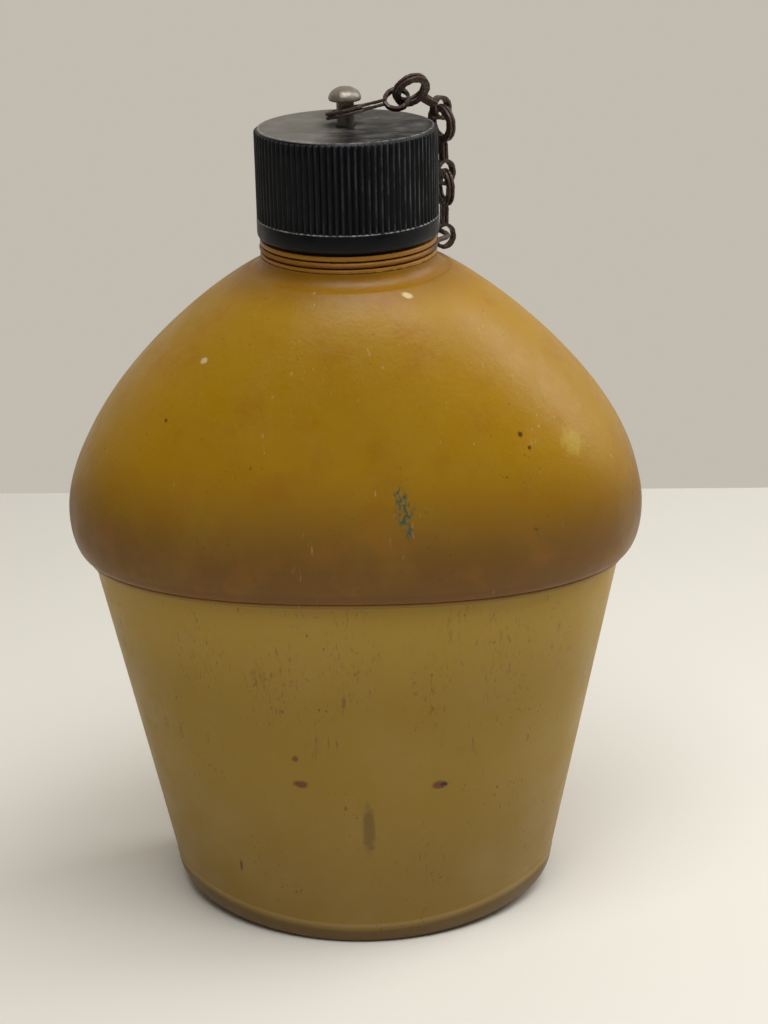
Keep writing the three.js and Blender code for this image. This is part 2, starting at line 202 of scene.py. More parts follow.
def piece(name, mesh, finish, body, node, sharp=38):
    """Puts a mesh in its place in the frame, as the stand-in for one CAD node."""
    mesh.name = name
    mesh.transform(Matrix.Scale(MM, 4) @ Matrix.Translation(Vector(NECK)))
    mesh.shade_smooth()
    mesh.set_sharp_from_angle(angle=math.radians(sharp))
    mesh.materials.clear()
    mesh.materials.append(finish)
    made = bpy.data.objects.new(name, mesh)
    bpy.context.collection.objects.link(made)
    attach(made, body)
    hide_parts(node)
    return made


def lerp(a, b, t):
    return a + (b - a) * t


def blended(a, b, t):
    return {key: lerp(a[key], b[key], t) for key in a}


def steps(count, first=0):
    return [i / count for i in range(first, count + 1)]


def quarter(count, first=0):
    """(1 - cos, sin) along a quarter circle."""
    return [(1 - math.cos(t * math.pi / 2), math.sin(t * math.pi / 2)) for t in steps(count, first)]


def cubic(t, a, b, c, d):
    return (1 - t) ** 3 * a + 3 * (1 - t) ** 2 * t * b + 3 * (1 - t) * t**2 * c + t**3 * d


# ---- Body sections ----

def section(level, shape=KIDNEY, centre_y=SECTION_Y):
    """Ring of evenly spaced points: two half superellipses, ends swept back, back hollowed."""
    angle = np.linspace(0, 2 * math.pi, 1441)
    c, s = np.cos(angle), np.sin(angle)
    at_back = s > 0
    power = np.where(at_back, shape["back_power"], shape["front_power"])
    across = np.sign(c) * np.abs(c) ** (2 / power)
    deep = np.abs(s) ** (2 / power) * np.where(at_back, level["back"], -level["front"])
    hollow = np.where(at_back, shape["hollow"] * (1 - across**2) ** 2, 0)
    x = level["side"] * across
    y = centre_y + deep + shape["sweep"] * across**2 - hollow
    z = level["z"] + level.get("lift", 0) * across**2
    travelled = np.concatenate([[0], np.cumsum(np.hypot(np.diff(x), np.diff(y)))])
    wanted = np.linspace(0, travelled[-1], AROUND, endpoint=False)
    return np.stack([np.interp(wanted, travelled, values) for values in (x, y, z)], axis=1)


def inset(level, by, z=None):
    return {**level, "z": level["z"] if z is None else z, "side": level["side"] - by,
            "front": level["front"] - by, "back": level["back"] - by}


def dome_ring(t, by=0):
    foot = COLLAR_R + FILLET
    ease = t * t * (3 - 2 * t)
    level = dict(
        z=cubic(t, SHOULDER["z"], DOME["low_z"], DOME["high_z"], DOME_TOP) - by * t,
        side=cubic(t, SHOULDER["side"], SHOULDER["side"], DOME["high_side"], foot),
        front=cubic(t, SHOULDER["front"], SHOULDER["front"], DOME["high_depth"], foot),
        back=cubic(t, SHOULDER["back"], SHOULDER["back"], DOME["high_depth"], foot),
    )
    drawn_in = inset(level, by * lerp(1, NECK_WALL, t))
    return section(drawn_in, blended(KIDNEY, ROUND, ease), SECTION_Y * (1 - ease))


def circle(radius, z):
    return section(dict(z=z, side=radius, front=radius, back=radius), ROUND, 0)


def wall_ring(t, by=0):
    """The lower shell between the base's edge (t = 0) and the lip (t = 1)."""
    return section(inset(blended(BASE, WALL_TOP, t), by), blended(KIDNEY_FOOT, KIDNEY, t))


def bead_out(t):
    """How far the thin bead stands proud, from its lower edge (t = 0) to its upper edge (t = 1)."""
    return BEAD["proud"] * math.sin(math.pi * t)


def lower_shell():
    underside = []
    for c, s in quarter(14):
        level = {**blended(FOOT, BASE, s), "z": BASE["z"] * c, "lift": BASE["lift"] * c}
        underside.append(section(level, KIDNEY_FOOT))
    bead = BEAD["height"] / (WALL_TOP["z"] - BASE["z"])
    edge = [wall_ring(bead * t, -bead_out(t)) for t in steps(8, 1)]
    wall = [wall_ring(lerp(bead, 1, t)) for t in steps(40, 1)]
    top = lower_high[2]
    rim = [section(inset(WALL_TOP, by, z)) for by, z in (
        (0, top - 0.5), (0.15, top - 0.15), (0.5, top), (WALL - 0.5, top), (WALL, top - 0.5))]
    inside = [wall_ring(1 - t, WALL) for t in steps(12)]
    floor = [section(inset(FOOT, WALL, WALL), KIDNEY_FOOT)]
    return build(*skin([*underside, *edge, *wall, *rim, *inside, *floor]))


def upper_shell():
    socket = lower_high[2] + GAP
    edge = 0.35
    foot = [section(inset(LIP, edge * (1 - s), LIP_Z + edge * c)) for c, s in quarter(4)]
    rim = [section(inset(LIP, -bead_out(t), LIP_Z + edge + BEAD["height"] * t)) for t in steps(8, 1)]
    start = edge + BEAD["height"]
    lip = []
    for c, s in quarter(20, 1):
        level = blended(LIP, SHOULDER, s)
        lip.append(section({**level, "z": lerp(LIP_Z + start, SHOULDER["z"], c)}))
    dome = [dome_ring(t) for t in steps(90, 1)]
    fillet = [circle(COLLAR_R + FILLET * (1 - s), lerp(DOME_TOP, SEAM, c)) for c, s in quarter(14, 1)]
    soft = [circle(COLLAR_R - 0.15, SEAM), circle(COLLAR_R - 0.4, SEAM - 0.08)]
    inner = [circle(SPIGOT["r"] + GAP, SEAM - 0.08), circle(SPIGOT["r"] + GAP, SPIGOT["bottom"] + GAP)]
    inside = [dome_ring(1 - t, WALL) for t in steps(30)]
    ledge = [section(inset(WALL_TOP, -GAP, z)) for z in (socket, LIP_Z + 0.3)]
    return build(*skin([*foot, *rim, *lip, *dome, *fillet, *soft, *inner, *inside, *ledge,
                        section(inset(WALL_TOP, -GAP - 0.1, LIP_Z))], loop=True))


# ---- Turned pieces ----

def rounded(outline, radius, count=4):
    """The outline with each inner corner cut by a small curve."""
    points = [np.array(p, float) for p in outline]
    soft = [points[0]]
    for before, corner, after in zip(points, points[1:], points[2:]):
        reach = min(radius, *(np.linalg.norm(p - corner) * 0.45 for p in (before, after)))
        a = corner + (before - corner) / np.linalg.norm(before - corner) * reach
        b = corner + (after - corner) / np.linalg.norm(after - corner) * reach
        soft += [(1 - t) ** 2 * a + 2 * (1 - t) * t * corner + t * t * b for t in steps(count)]
    return soft + [points[-1]]


def turned(outline, count=128, loop=False):
    """Revolved about the neck's axis from (radius, z) pairs."""
    angle = np.linspace(0, 2 * math.pi, count, endpoint=False)
    rings = [np.stack([r * np.cos(angle), r * np.sin(angle), np.full(count, z)], axis=1) for r, z in outline]
    return build(*skin(rings, loop))


def ridge(root_r, crest_r, z, count=120):
    """Helical ridge between two radii, running out at both ends."""
    rings = []
    for i in range(count + 1):
        angle = 2 * math.pi * THREAD["turns"] * i / count
        level = z + THREAD["pitch"] * angle / (2 * math.pi)
        run_out = min(1, 0.2 + min(i, count - i) / 12)
        crest = lerp(root_r, crest_r, run_out)
        rings.append([(r * math.cos(angle), r * math.sin(angle), level + h) for r, h in (
            (root_r, -THREAD["root"] / 2), (lerp(root_r, crest, 0.8), -THREAD["crest"] * 0.62),
            (crest, -THREAD["crest"] * 0.3), (crest, THREAD["crest"] * 0.3),
            (lerp(root_r, crest, 0.8), THREAD["crest"] * 0.62), (root_r, THREAD["root"] / 2))])
    return build(*skin(rings))


def threaded_neck():
    z, r, half = GROOVE["z"], GROOVE["r"], GROOVE["half"]
    seat = SEAM + 0.04
    outline = [
        (BORE_R, 175), (BORE_R, SPIGOT["bottom"]), (SPIGOT["r"], SPIGOT["bottom"]), (SPIGOT["r"], seat),
        (COLLAR_R, seat), (COLLAR_R, z - half), (r, z - half), (r, z + half), (COLLAR_R, z + half),
        (COLLAR_R, COLLAR_TOP), (THREAD_ROOT_R, COLLAR_TOP), (THREAD_ROOT_R, neck_high[2]),
        (BORE_R, neck_high[2]), (BORE_R, 175),
    ]
    barrel = turned(rounded(outline, 0.45)[:-1], 192, loop=True)
    return united(barrel, ridge(THREAD_ROOT_R - BITE, THREAD_CREST_R, THREAD["z"]))


def cap_shell():
    """Ribbed barrel, smooth band below it, and the bore; ribs fade into the top's rounding."""
    count = RIB_COUNT * 12
    angle = np.linspace(0, 2 * math.pi, count, endpoint=False)
    rib = (0.5 + 0.5 * np.cos(RIB_COUNT * angle)) ** 0.7
    under = CAP_TOP - CAP_PLATE
    edge_foot = CAP_TOP - CAP_EDGE

    def ring(radius, z, ribbed=0.0):
        r = radius + (RIB_CREST_R - RIB_ROOT_R) * ribbed * rib
        return np.stack([r * np.cos(angle), r * np.sin(angle), np.full(count, z)], axis=1)

    top = [ring(r, CAP_TOP) for r in (PIN_HOLE_R + PIN_HOLE_EDGE, 6, 10, 14, 17, 19)]
    edge = [ring(RIB_ROOT_R - CAP_EDGE * (1 - s), CAP_TOP - CAP_EDGE * c, max(0.0, (c - 0.7) / 0.3))
            for c, s in quarter(8)]
    ribs = [ring(RIB_ROOT_R, lerp(edge_foot, RIBS_FROM + 0.35, t), 1) for t in steps(6, 1)]
    ledge = [ring(RIB_ROOT_R + 0.06, RIBS_FROM + 0.2, 0.9),
             ring(lerp(RIB_ROOT_R, BAND_R, 0.72), RIBS_FROM + 0.06, 0.24),
             ring(BAND_R - 0.08, RIBS_FROM - 0.05), ring(BAND_R, RIBS_FROM - 0.25)]
    rim = [ring(BAND_R - CAP_RIM_ROUND * (1 - math.cos(a)), CAP_RIM + CAP_RIM_ROUND * (1 - math.sin(a)))
           for a in np.linspace(0, math.pi / 2, 7)]
    bore = [ring(CAP_BORE_R + CAP_BORE_EDGE, CAP_RIM), ring(CAP_BORE_R, CAP_RIM + CAP_BORE_EDGE),
            ring(CAP_BORE_R, under - CAP_BORE_FILLET), ring(CAP_BORE_R - CAP_BORE_FILLET, under),
            ring(PIN_HOLE_R, under), ring(PIN_HOLE_R, CAP_TOP - PIN_HOLE_EDGE)]
    shell = build(*skin([*top, *edge, *ribs, *ledge, *rim, *bore], loop=True))
    return united(shell, ridge(CAP_BORE_R + BITE, CAP_CREST_R, THREAD["z"] - THREAD["pitch"] / 2))


def cap_pin():
    head = pin_high[2] - PIN["head_height"]
    tail_top = pin_low[2] + PIN["tail"]
    dome = [(PIN["head_r"] * math.cos(a), head + lerp(PIN["head_edge"], PIN["head_height"], math.sin(a)))
            for a in np.linspace(0, math.pi / 2, 20)[:-1]]
    shank = rounded([(0.4, pin_low[2]), (PIN["tail_r"], pin_low[2]), (PIN["tail_r"], tail_top),
                     (PIN["r"], tail_top), (PIN["r"], head), (PIN["head_r"] - 0.25, head + 0.05),
                     dome[0]], 0.25)
    return roughened(turned([*shank, *dome[1:]], 64), 0.09, 1.3)


def washer(node, inner_r, soft):
    low, high = extent(node)
    outer_r = (high[0] - low[0]) / 2
    middle = (low[2] + high[2]) / 2
    outline = [(inner_r, middle), (inner_r, low[2]), (outer_r, low[2]), (outer_r, high[2]),
               (inner_r, high[2]), (inner_r, middle)]
    return turned(rounded(outline, soft)[:-1], 96, loop=True)


# ---- Neck ring and chain ----

def neck_ring():
    count, sides = 300, 14

    def centre(angle):
        off = math.remainder(angle - CHAIN_AZIMUTH, 2 * math.pi)
        r = NECK_RING["r"] + NECK_RING["bulge"] * math.exp(-((off / NECK_RING["spread"]) ** 4))
        return Vector((r * math.cos(angle), r * math.sin(angle), GROOVE["z"]))

    rings = []
    for i in range(count):
        angle = 2 * math.pi * i / count
        out = (centre(angle + 0.01) - centre(angle)).normalized().cross(Vector((0, 0, 1)))
        rings.append([tuple(centre(angle) + WIRE_R * (out * math.cos(a) + Vector((0, 0, math.sin(a)))))
                      for a in np.linspace(0, 2 * math.pi, sides, endpoint=False)])
    return roughened(build(*skin(rings, loop=True)), 0.05, 1.1)


def bar(outer_x, outer_y, band, low, high, count=72):
    """Rectangular bar bent into a closed oval round its own Z axis, between two heights."""
    rings = []
    for angle in np.linspace(0, 2 * math.pi, count, endpoint=False):
        c, s = math.cos(angle), math.sin(angle)
        rings.append([((outer_x - cut) * c, (outer_y - cut) * s, z)
                      for cut, z in ((0, low), (0, high), (band, high), (band, low))])
    return build(*skin(rings, loop=True))


def block(x0, x1, half_y, z0, z1):
    end = [(-half_y, z0), (half_y, z0), (half_y, z1), (-half_y, z1)]
    corners = [(x, y, z) for x in (x0, x1) for y, z in end]
    return build(*skin([corners[:4], corners[4:]]))


def joined(meshes):
    """All the meshes' faces in one mesh, not yet one skin."""
    work = bmesh.new()
    for mesh in meshes:
        work.from_mesh(mesh)
    whole = bpy.data.meshes.new("joined")
    work.to_mesh(whole)
    work.free()
    return whole


def link_form(size):
    """Steel strip folded double: two layers make the ring and the waist, and the fold makes the eye."""
    half = size["thick"] / 2
    layers = [(-half, -LAYER_GAP / 2), (LAYER_GAP / 2, half)]
    band = size["ring_r"] - size["hole_r"]
    start, end = size["ring_r"] - 0.7, size["span"] - size["eye_long"] + 0.6
    eye = bar(size["eye_long"], size["eye_high"], size["strip"], -size["width"] / 2, size["width"] / 2)
    eye.transform(Matrix.Translation((size["span"], 0, 0))
                  @ Matrix.Rotation(math.pi / 2 + math.radians(size["twist"]), 4, "X"))
    parts = [eye]
    for low, high in layers:
        parts.append(bar(size["ring_r"], size["ring_r"], band, low, high))
        parts.append(block(start, end, size["width"] / 2, low, high))
    whole = worked(joined(parts), "REMESH", mode="VOXEL", voxel_size=LINK_VOXEL, adaptivity=0)
    whole = worked(whole, "SMOOTH", factor=0.5, iterations=3)
    return roughened(whole, 0.09, 0.8)


def along(azimuth, rise):
    return Vector((math.cos(azimuth) * math.cos(rise), math.sin(azimuth) * math.cos(rise), math.sin(rise)))


def chain_places():
    """(size, ring centre, direction of the eye, direction the flat side faces) of each link."""
    up = Vector((0, 0, 1))
    out = along(CHAIN_AZIMUTH, 0)

    def hanging(lean):
        return -out * math.sin(lean) - up * math.cos(lean)

    along_4 = hanging(LAST_LEAN)
    eye_4 = out * (NECK_RING["r"] + NECK_RING["bulge"]) + up * (GROOVE["z"] - LAST_DROP)
    centre_4 = eye_4 - along_4 * LINK["span"]
    along_3 = hanging(THIRD_LEAN)
    centre_3 = centre_4 - along_4 * RING_TO_EYE - along_3 * LINK["span"]
    eye_2 = centre_3 - along_3 * RING_TO_EYE

    along_1 = along(FIRST_AZIMUTH, 0) + up * math.sin(FIRST_RISE)
    centre_1 = up * (CAP_TOP + LINK_ABOVE_CAP)
    eye_1 = centre_1 + along_1 * FIRST_LINK["span"]

    reach = eye_2 - eye_1
    distance, line = reach.length, reach.normalized()
    foot = (RING_TO_EYE**2 - SECOND_LINK["span"] ** 2 + distance**2) / (2 * distance)
    height = math.sqrt(RING_TO_EYE**2 - foot**2)
    aside = line.cross(up).normalized()
    lift = Matrix.Rotation(SECOND_STAND, 3, line) @ aside.cross(line)
    centre_2 = eye_1 + line * foot + lift * height
    along_2 = (eye_2 - centre_2).normalized()
    facing_2 = along_2.cross(eye_1 - centre_2).normalized()
    return [
        (FIRST_LINK, centre_1, along_1, Matrix.Rotation(FIRST_ROLL, 3, along_1) @ up),
        (SECOND_LINK, centre_2, along_2, Matrix.Rotation(SECOND_ROLL, 3, along_2) @ facing_2),
        (LINK, centre_3, along_3, Matrix.Rotation(THIRD_TURN, 3, up) @ out),
        (LINK, centre_4, along_4, out),
    ]


def placed_link(size, centre, direction, facing):
    mesh = link_form(size)
    direction = direction.normalized()
    across = facing.cross(direction).normalized()
    axes = Matrix((direction, across, direction.cross(across))).transposed()
    mesh.transform(Matrix.Translation(centre) @ axes.to_4x4())
    return mesh


# ---- Finishes ----

def srgb(red, green, blue):
    """Linear colour from 0 to 255 display values."""
    def linear(v):
        return ((v / 255 + 0.055) / 1.055) ** 2.4 if v > 10.3 else v / 255 / 12.92

    return linear(red), linear(green), linear(blue), 1


class Finish:
    """A node material. Its methods add nodes and return the socket that carries their result."""

    def __init__(self, name, **constants):
        self.material = bpy.data.materials.new(name)
        self.material.use_nodes = True
        self.tree = self.material.node_tree
        self.shader = self.tree.nodes["Principled BSDF"]
        for key, value in constants.items():
            self.shader.inputs[key.replace("_", " ").title().replace("Ior", "IOR")].default_value = value
        self.place = self.node("ShaderNodeTexCoord").outputs["Object"]
        self.x, self.y, self.z = self.node("ShaderNodeSeparateXYZ", {0: self.place}).outputs

    def node(self, kind, inputs=(), **settings):
        made = self.tree.nodes.new(kind)
        for key, value in settings.items():
            setattr(made, key, value)
        for key, value in dict(inputs).items():
            self.feed(made.inputs[key], value)
        return made

    def feed(self, socket, value):
        if isinstance(value, bpy.types.NodeSocket):
            self.tree.links.new(value, socket)
        else:
            socket.default_value = value

    def math(self, operation, a, b=0.0, clamp=False):
        return self.node("ShaderNodeMath", {0: a, 1: b}, operation=operation, use_clamp=clamp).outputs[0]

    def grain(self, size, detail=4.0, rough=0.55, stretch=(1, 1, 1), shift=0.0):
        """Noise with lumps of about this size in millimetres, from 0 to 1."""
        moved = self.node("ShaderNodeVectorMath", {0: self.place, 1: (shift,) * 3},
                          operation="ADD").outputs[0]
        scaled = self.node("ShaderNodeVectorMath", {0: moved, 1: stretch}, operation="MULTIPLY").outputs[0]
        return self.node("ShaderNodeTexNoise", {"Vector": scaled, "Scale": 1 / (size * MM), "Detail": detail,
                                                "Roughness": rough}).outputs["Fac"]

    def ramp(self, value, low, high, out_low=0.0, out_high=1.0):
        """Smooth step of a value between two limits."""
        return self.node("ShaderNodeMapRange", {"Value": value, "From Min": low, "From Max": high,
                                                "To Min": out_low, "To Max": out_high},
                         interpolation_type="SMOOTHSTEP").outputs[0]

    def band(self, value, low, high, soft):
        """1 between two limits, fading to 0 over soft."""
        rise = self.ramp(value, low - soft, low)
        fall = self.ramp(value, high, high + soft, 1.0, 0.0)
        return self.math("MULTIPLY", rise, fall)

    def times(self, *values):
        result = values[0]
        for value in values[1:]:
            result = self.math("MULTIPLY", result, value)
        return result

    def mix(self, amount, a, b, blend="MIX"):
        made = self.node("ShaderNodeMix", {0: amount, 6: a, 7: b}, data_type="RGBA", blend_type=blend)
        return made.outputs[2]

    def near(self, point, radius, stretch=(1, 1, 1), ragged=0.5, size=1.5):
        """1 at a point of the part's frame, in millimetres, fading to 0 at a ragged edge."""
        offset = self.node("ShaderNodeVectorMath", {0: self.place, 1: tuple(v * MM for v in point)},
                           operation="SUBTRACT").outputs[0]
        scaled = self.node("ShaderNodeVectorMath", {0: offset, 1: stretch}, operation="MULTIPLY").outputs[0]
        distance = self.node("ShaderNodeVectorMath", {0: scaled}, operation="LENGTH").outputs["Value"]
        wobble = self.math("MULTIPLY", self.math("SUBTRACT", self.grain(size), 0.5), ragged * 2 * radius * MM)
        return self.ramp(self.math("ADD", distance, wobble), radius * 0.45 * MM, radius * MM, 1.0, 0.0)

    def bump(self, *layers):
        """Stacks (height, depth in millimetres) into the shader's normal."""
        normal = None
        for height, depth in layers:
            made = self.node("ShaderNodeBump", {"Height": height, "Distance": depth * MM, "Strength": 1.0})
            if normal is not None:
                self.tree.links.new(normal, made.inputs["Normal"])
            normal = made.outputs["Normal"]
        self.tree.links.new(normal, self.shader.inputs["Normal"])

    def done(self, colour, roughness):
        self.feed(self.shader.inputs["Base Color"], colour)
        self.feed(self.shader.inputs["Roughness"], roughness)
        return self.material


# ---- Marks of use: distance across the front and height, in whole millimetres ----

ACROSS, ROUND_SPOT, UPRIGHT = (0.5, 1, 1), (1, 1, 1), (1.6, 1, 0.35)
CHIP, PAINT, RUST = srgb(200, 180, 132), srgb(44, 84, 76), srgb(112, 58, 14)

UPPER_MARKS = [
    (-32, 148, 0.9, ACROSS, CHIP),
    (14, 162, 1.0, ACROSS, CHIP),
    (51, 128, 4.0, ROUND_SPOT, srgb(172, 140, 44)),
    (39, 132, 0.8, ROUND_SPOT, srgb(84, 58, 10)),
    (41, 129, 0.6, ROUND_SPOT, srgb(84, 58, 10)),
    (-41, 135, 0.6, ROUND_SPOT, srgb(96, 62, 10)),
]
SMEAR = [(12, 121, 1.5), (13, 117, 2.0), (14, 113, 1.2)]
LOWER_MARKS = [
    (-13, 46, 1.3, ACROSS, RUST),
    (20, 45, 1.4, ACROSS, RUST),
    (21, 45, 0.7, ACROSS, srgb(44, 26, 12)),
    (-14, 53, 1.1, ROUND_SPOT, srgb(116, 70, 20)),
    (3, 33, 3.2, UPRIGHT, srgb(120, 92, 26)),
    (-29, 19, 0.9, UPRIGHT, srgb(84, 54, 18)),
]
# Dirt caught below the lip in a zigzag row, and one patch near the base.
DIRT = [(18 * i, 73 if i % 2 else 80, 8) for i in range(-2, 3)] + [(17, 25, 6)]


def on_front(rings, across, height):
    """Point of the surface's front at this distance across and this height."""
    depths, heights = [], []
    for ring in rings:
        end_depth = ring[ring[:, 0].argmax(), 1]
        front = ring[ring[:, 1] < end_depth]
        front = front[front[:, 0].argsort()]
        depths.append(np.interp(across, front[:, 0], front[:, 1]))
        heights.append(np.interp(across, front[:, 0], front[:, 2]))
    return across, float(np.interp(height, heights, depths) + NECK[1]), height


def upper_finish():
    f = Finish("upper_plastic", ior=1.48, specular_ior_level=0.36, sheen_weight=0.03, sheen_roughness=0.4,
               subsurface_weight=0.1, subsurface_scale=0.002)
    f.shader.inputs["Sheen Tint"].default_value = srgb(214, 186, 130)
    broad = f.grain(34, 3)
    colour = f.mix(broad, srgb(154, 111, 1), srgb(170, 128, 4))
    # Painted shade: darker towards the lip, where the underside of the shoulder's bulge lies in shade.
    low = f.ramp(f.z, (LIP_Z + 36) * MM, (LIP_Z + 8) * MM)
    colour = f.mix(f.math("MULTIPLY", low, 0.9), colour, srgb(108, 70, 0))
    # Painted shade: darker in the fillet round the neck, under the cap.
    neck = f.ramp(f.z, (DOME_TOP - 6) * MM, (SEAM - 1) * MM)
    colour = f.mix(f.math("MULTIPLY", neck, 0.8), colour, srgb(122, 78, 2))
    blotch = f.ramp(f.grain(13, 5, 0.6, shift=0.3), 0.5, 0.72)
    colour = f.mix(f.math("MULTIPLY", blotch, 0.4), colour, srgb(148, 92, 3))
    haze = f.ramp(f.grain(22, 6, 0.65, shift=0.7), 0.45, 0.75)
    colour = f.mix(f.math("MULTIPLY", haze, 0.16), colour, srgb(176, 142, 40))
    specks = f.times(f.ramp(f.grain(0.9, 2, 0.5, shift=0.1), 0.68, 0.74),
                     f.ramp(f.grain(9, 4, shift=0.5), 0.5, 0.66))
    colour = f.mix(f.math("MULTIPLY", specks, 0.7), colour, srgb(60, 38, 10))
    scratch = f.times(f.ramp(f.grain(1.1, 3, 0.5, (1, 1, 0.16), 0.2), 0.66, 0.72),
                      f.ramp(f.grain(16, 3, shift=0.9), 0.5, 0.62))
    colour = f.mix(f.math("MULTIPLY", scratch, 0.3), colour, srgb(206, 184, 138))
    # Painted highlight: a thin light line along the lip's lower edge.
    line = f.band(f.z, (LIP_Z + 0.2) * MM, (LIP_Z + 1.0) * MM, 0.35 * MM)
    colour = f.mix(f.math("MULTIPLY", line, 0.5), colour, srgb(150, 118, 44))
    # Painted shade: a darker band just above the lip's edge, on the underside of the bulge.
    lip_shade_band = f.band(f.z, (LIP_Z + 1.7) * MM, (LIP_Z + 3.2) * MM, 0.8 * MM)
    colour = f.mix(f.math("MULTIPLY", lip_shade_band, 0.55), colour, srgb(112, 66, 1))
    dome = [dome_ring(t) for t in steps(90)]
    for across, height, radius, stretch, paint in UPPER_MARKS:
        colour = f.mix(f.near(on_front(dome, across, height), radius, stretch), colour, paint)
    for across, height, radius in SMEAR:
        streaks = f.ramp(f.grain(0.7, 4, 0.65, (1, 1, 0.5), 0.15), 0.46, 0.56)
        patch = f.near(on_front(dome, across, height), radius, (0.8, 1, 0.5), 0.7)
        colour = f.mix(f.times(patch, streaks, 0.9), colour, PAINT)
    f.bump((f.grain(26, 2, shift=0.4), 0.5), (f.grain(2.6, 3, 0.5), 0.1), (f.grain(0.75, 3, 0.5), 0.05))
    gloss = f.ramp(f.grain(7, 5, 0.6, shift=0.8), 0.3, 0.75, 0.36, 0.5)
    return f.done(colour, f.math("ADD", gloss, f.math("MULTIPLY", specks, 0.2)))


def lower_finish():
    f = Finish("lower_plastic", ior=1.48, specular_ior_level=0.4, sheen_weight=0.16, sheen_roughness=0.5,
               subsurface_weight=0.1, subsurface_scale=0.002)
    f.shader.inputs["Sheen Tint"].default_value = srgb(206, 188, 160)
    broad = f.grain(38, 3, shift=0.15)
    colour = f.mix(broad, srgb(146, 114, 16), srgb(158, 126, 26))
    high = f.ramp(f.z, 64 * MM, 88 * MM)
    colour = f.mix(f.math("MULTIPLY", high, 0.7), colour, srgb(180, 144, 44))
    low = f.ramp(f.z, 55 * MM, 8 * MM)
    colour = f.mix(f.math("MULTIPLY", low, 0.55), colour, srgb(124, 94, 34))
    haze = f.ramp(f.grain(18, 6, 0.65, shift=0.35), 0.42, 0.75)
    colour = f.mix(f.math("MULTIPLY", haze, 0.25), colour, srgb(160, 134, 78))
    below_lip = f.band(f.z, 58 * MM, 86 * MM, 18 * MM)
    streaks = f.times(f.ramp(f.grain(1.2, 4, 0.6, (1, 1, 0.12), 0.6), 0.56, 0.7),
                      f.ramp(f.grain(11, 4, 0.6, (1, 1, 0.7), 0.05), 0.5, 0.64), below_lip)
    colour = f.mix(f.math("MULTIPLY", streaks, 0.6), colour, srgb(86, 62, 22))
    specks = f.times(f.ramp(f.grain(0.8, 2, 0.5, (1, 1, 0.5), 0.33), 0.64, 0.72),
                     f.ramp(f.grain(12, 4, shift=0.77), 0.48, 0.66))
    colour = f.mix(f.math("MULTIPLY", specks, 0.65), colour, srgb(70, 48, 18))
    wall = [wall_ring(t) for t in steps(40)]
    for across, height, radius, stretch, paint in LOWER_MARKS:
        colour = f.mix(f.near(on_front(wall, across, height), radius, stretch), colour, paint)
    for across, height, radius in DIRT:
        patch = f.near(on_front(wall, across, height), radius, (1, 0.4, 0.5), 1.0, 5)
        lines = f.ramp(f.grain(0.6, 4, 0.65, (1, 1, 0.25), 0.9), 0.56, 0.68)
        colour = f.mix(f.times(patch, lines, 0.5), colour, srgb(84, 60, 18))
    out = f.math("DIVIDE", f.x, BASE["side"] * MM)
    level = f.math("SUBTRACT", f.z, f.times(out, out, BASE["lift"] * MM))
    # Painted highlight: a thin light line along the base's edge.
    edge = f.band(level, (BASE["z"] + 0.1) * MM, (BASE["z"] + BEAD["height"]) * MM, 0.25 * MM)
    colour = f.mix(f.math("MULTIPLY", edge, 0.45), colour, srgb(160, 136, 90))
    # Painted shade: the darker band below the base's edge, where the body turns under.
    foot = f.ramp(level, (BASE["z"] - 0.2) * MM, (BASE["z"] - 1.4) * MM)
    colour = f.mix(f.math("MULTIPLY", foot, 0.75), colour, srgb(84, 60, 18))
    f.bump((f.grain(30, 2, shift=0.45), 0.45), (f.grain(3.4, 3, 0.5, shift=0.2), 0.06),
           (f.grain(0.8, 3, 0.5), 0.025))
    return f.done(colour, f.ramp(f.grain(9, 5, 0.6, shift=0.25), 0.3, 0.75, 0.42, 0.58))


def neck_finish():
    f = Finish("neck_plastic", ior=1.48, specular_ior_level=0.5, sheen_weight=0.05, sheen_roughness=0.4,
               subsurface_weight=0.12, subsurface_scale=0.002)
    f.shader.inputs["Sheen Tint"].default_value = srgb(206, 188, 150)
    colour = f.mix(f.grain(9, 4), srgb(146, 96, 2), srgb(158, 108, 6))
    # Painted highlight: a light line along the seam at the shell, brighter towards the right.
    seam_highlight = f.times(f.band(f.z, SEAM * MM, (SEAM + 0.3) * MM, 0.15 * MM), f.ramp(f.x, -8 * MM, 14 * MM))
    colour = f.mix(f.times(seam_highlight, f.ramp(f.grain(1.2, 3), 0.4, 0.6)), colour, srgb(216, 186, 120))
    # Painted shade: a darker band in the groove just under the cap's rim.
    groove_shade = f.band(f.z, (GROOVE["z"] - 0.6) * MM, (GROOVE["z"] + 0.6) * MM, 0.3 * MM)
    colour = f.mix(f.math("MULTIPLY", groove_shade, 0.3), colour, srgb(104, 62, 4))
    f.bump((f.grain(2.4, 3), 0.05), (f.grain(0.7, 3), 0.02))
    return f.done(colour, f.ramp(f.grain(4, 4, shift=0.2), 0.3, 0.7, 0.34, 0.5))


